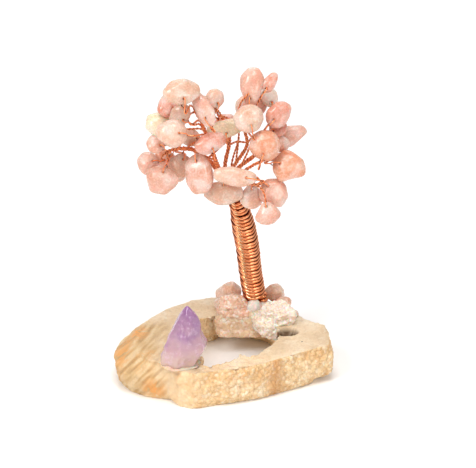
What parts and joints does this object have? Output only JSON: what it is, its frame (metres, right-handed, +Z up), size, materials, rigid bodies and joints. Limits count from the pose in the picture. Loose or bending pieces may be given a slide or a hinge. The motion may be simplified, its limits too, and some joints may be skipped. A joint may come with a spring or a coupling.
{
  "type": "gemstone tree ornament",
  "caption": "Small tree of twisted copper wire with drilled pink quartz chips for leaves, glued with an amethyst point onto a thick slice of agate with a natural hole through it.",
  "frame": {"origin": "middle of the underside of the agate slice", "axes": "+Z up, the longest extent, from the slice to the crown; the front with the amethyst faces -Y; +X to the right seen from the front"},
  "size_m": [0.073, 0.0564, 0.1065],
  "materials": {
    "copper_wire": "bright copper",
    "rose_quartz": "tumbled, glossy",
    "agate": "polished top, raw rind",
    "amethyst": "polished",
    "clear_quartz": "clear",
    "brown_quartz": "tumbled",
    "druzy": "sparkling crystals",
    "glue": "clear, hardened"
  },
  "bodies": {
    "root": {"agate_slab": "agate", "amethyst_glue": "glue", "amethyst_point": "amethyst", "branch_front": "copper_wire", "branch_left": "copper_wire", "branch_right": "copper_wire", "branch_right_high": "copper_wire", "branch_top": "copper_wire", "branch_top_right": "copper_wire", "branch_upper_left": "copper_wire", "chip_back_1": "rose_quartz", "chip_back_2": "rose_quartz", "chip_back_3": "rose_quartz", "chip_back_4": "rose_quartz", "chip_back_5": "rose_quartz", "chip_back_6": "rose_quartz", "chip_back_7": "rose_quartz", "chip_front_1": "rose_quartz", "chip_front_2": "rose_quartz", "chip_front_3": "rose_quartz", "chip_front_4": "rose_quartz", "chip_front_5": "rose_quartz", "chip_left_1": "rose_quartz", "chip_left_2": "rose_quartz", "chip_left_3": "rose_quartz", "chip_left_4": "rose_quartz", "chip_left_5": "rose_quartz", "chip_left_6": "rose_quartz", "chip_left_7": "rose_quartz", "chip_right_1": "rose_quartz", "chip_right_2": "rose_quartz", "chip_right_3": "rose_quartz", "chip_right_high_1": "rose_quartz", "chip_right_high_2": "rose_quartz", "chip_right_high_3": "rose_quartz", "chip_right_high_4": "rose_quartz", "chip_top_1": "rose_quartz", "chip_top_2": "rose_quartz", "chip_top_3": "rose_quartz", "chip_top_right_1": "rose_quartz", "chip_top_right_2": "rose_quartz", "chip_top_right_3": "rose_quartz", "chip_top_right_4": "rose_quartz", "chip_upper_left_1": "rose_quartz", "chip_upper_left_2": "rose_quartz", "chip_upper_left_3": "rose_quartz", "chip_upper_left_4": "rose_quartz", "chip_upper_left_5": "rose_quartz", "chip_upper_left_6": "rose_quartz", "chip_upper_left_7": "rose_quartz", "foot_cluster_pink": "druzy", "foot_druzy_white": "druzy", "foot_glue": "glue", "foot_quartz_clear": "clear_quartz", "foot_stone_back_left": "brown_quartz", "foot_stone_back_right": "brown_quartz", "foot_stone_olive": "brown_quartz", "trunk_winding": "copper_wire"}
  },
  "joints": []
}
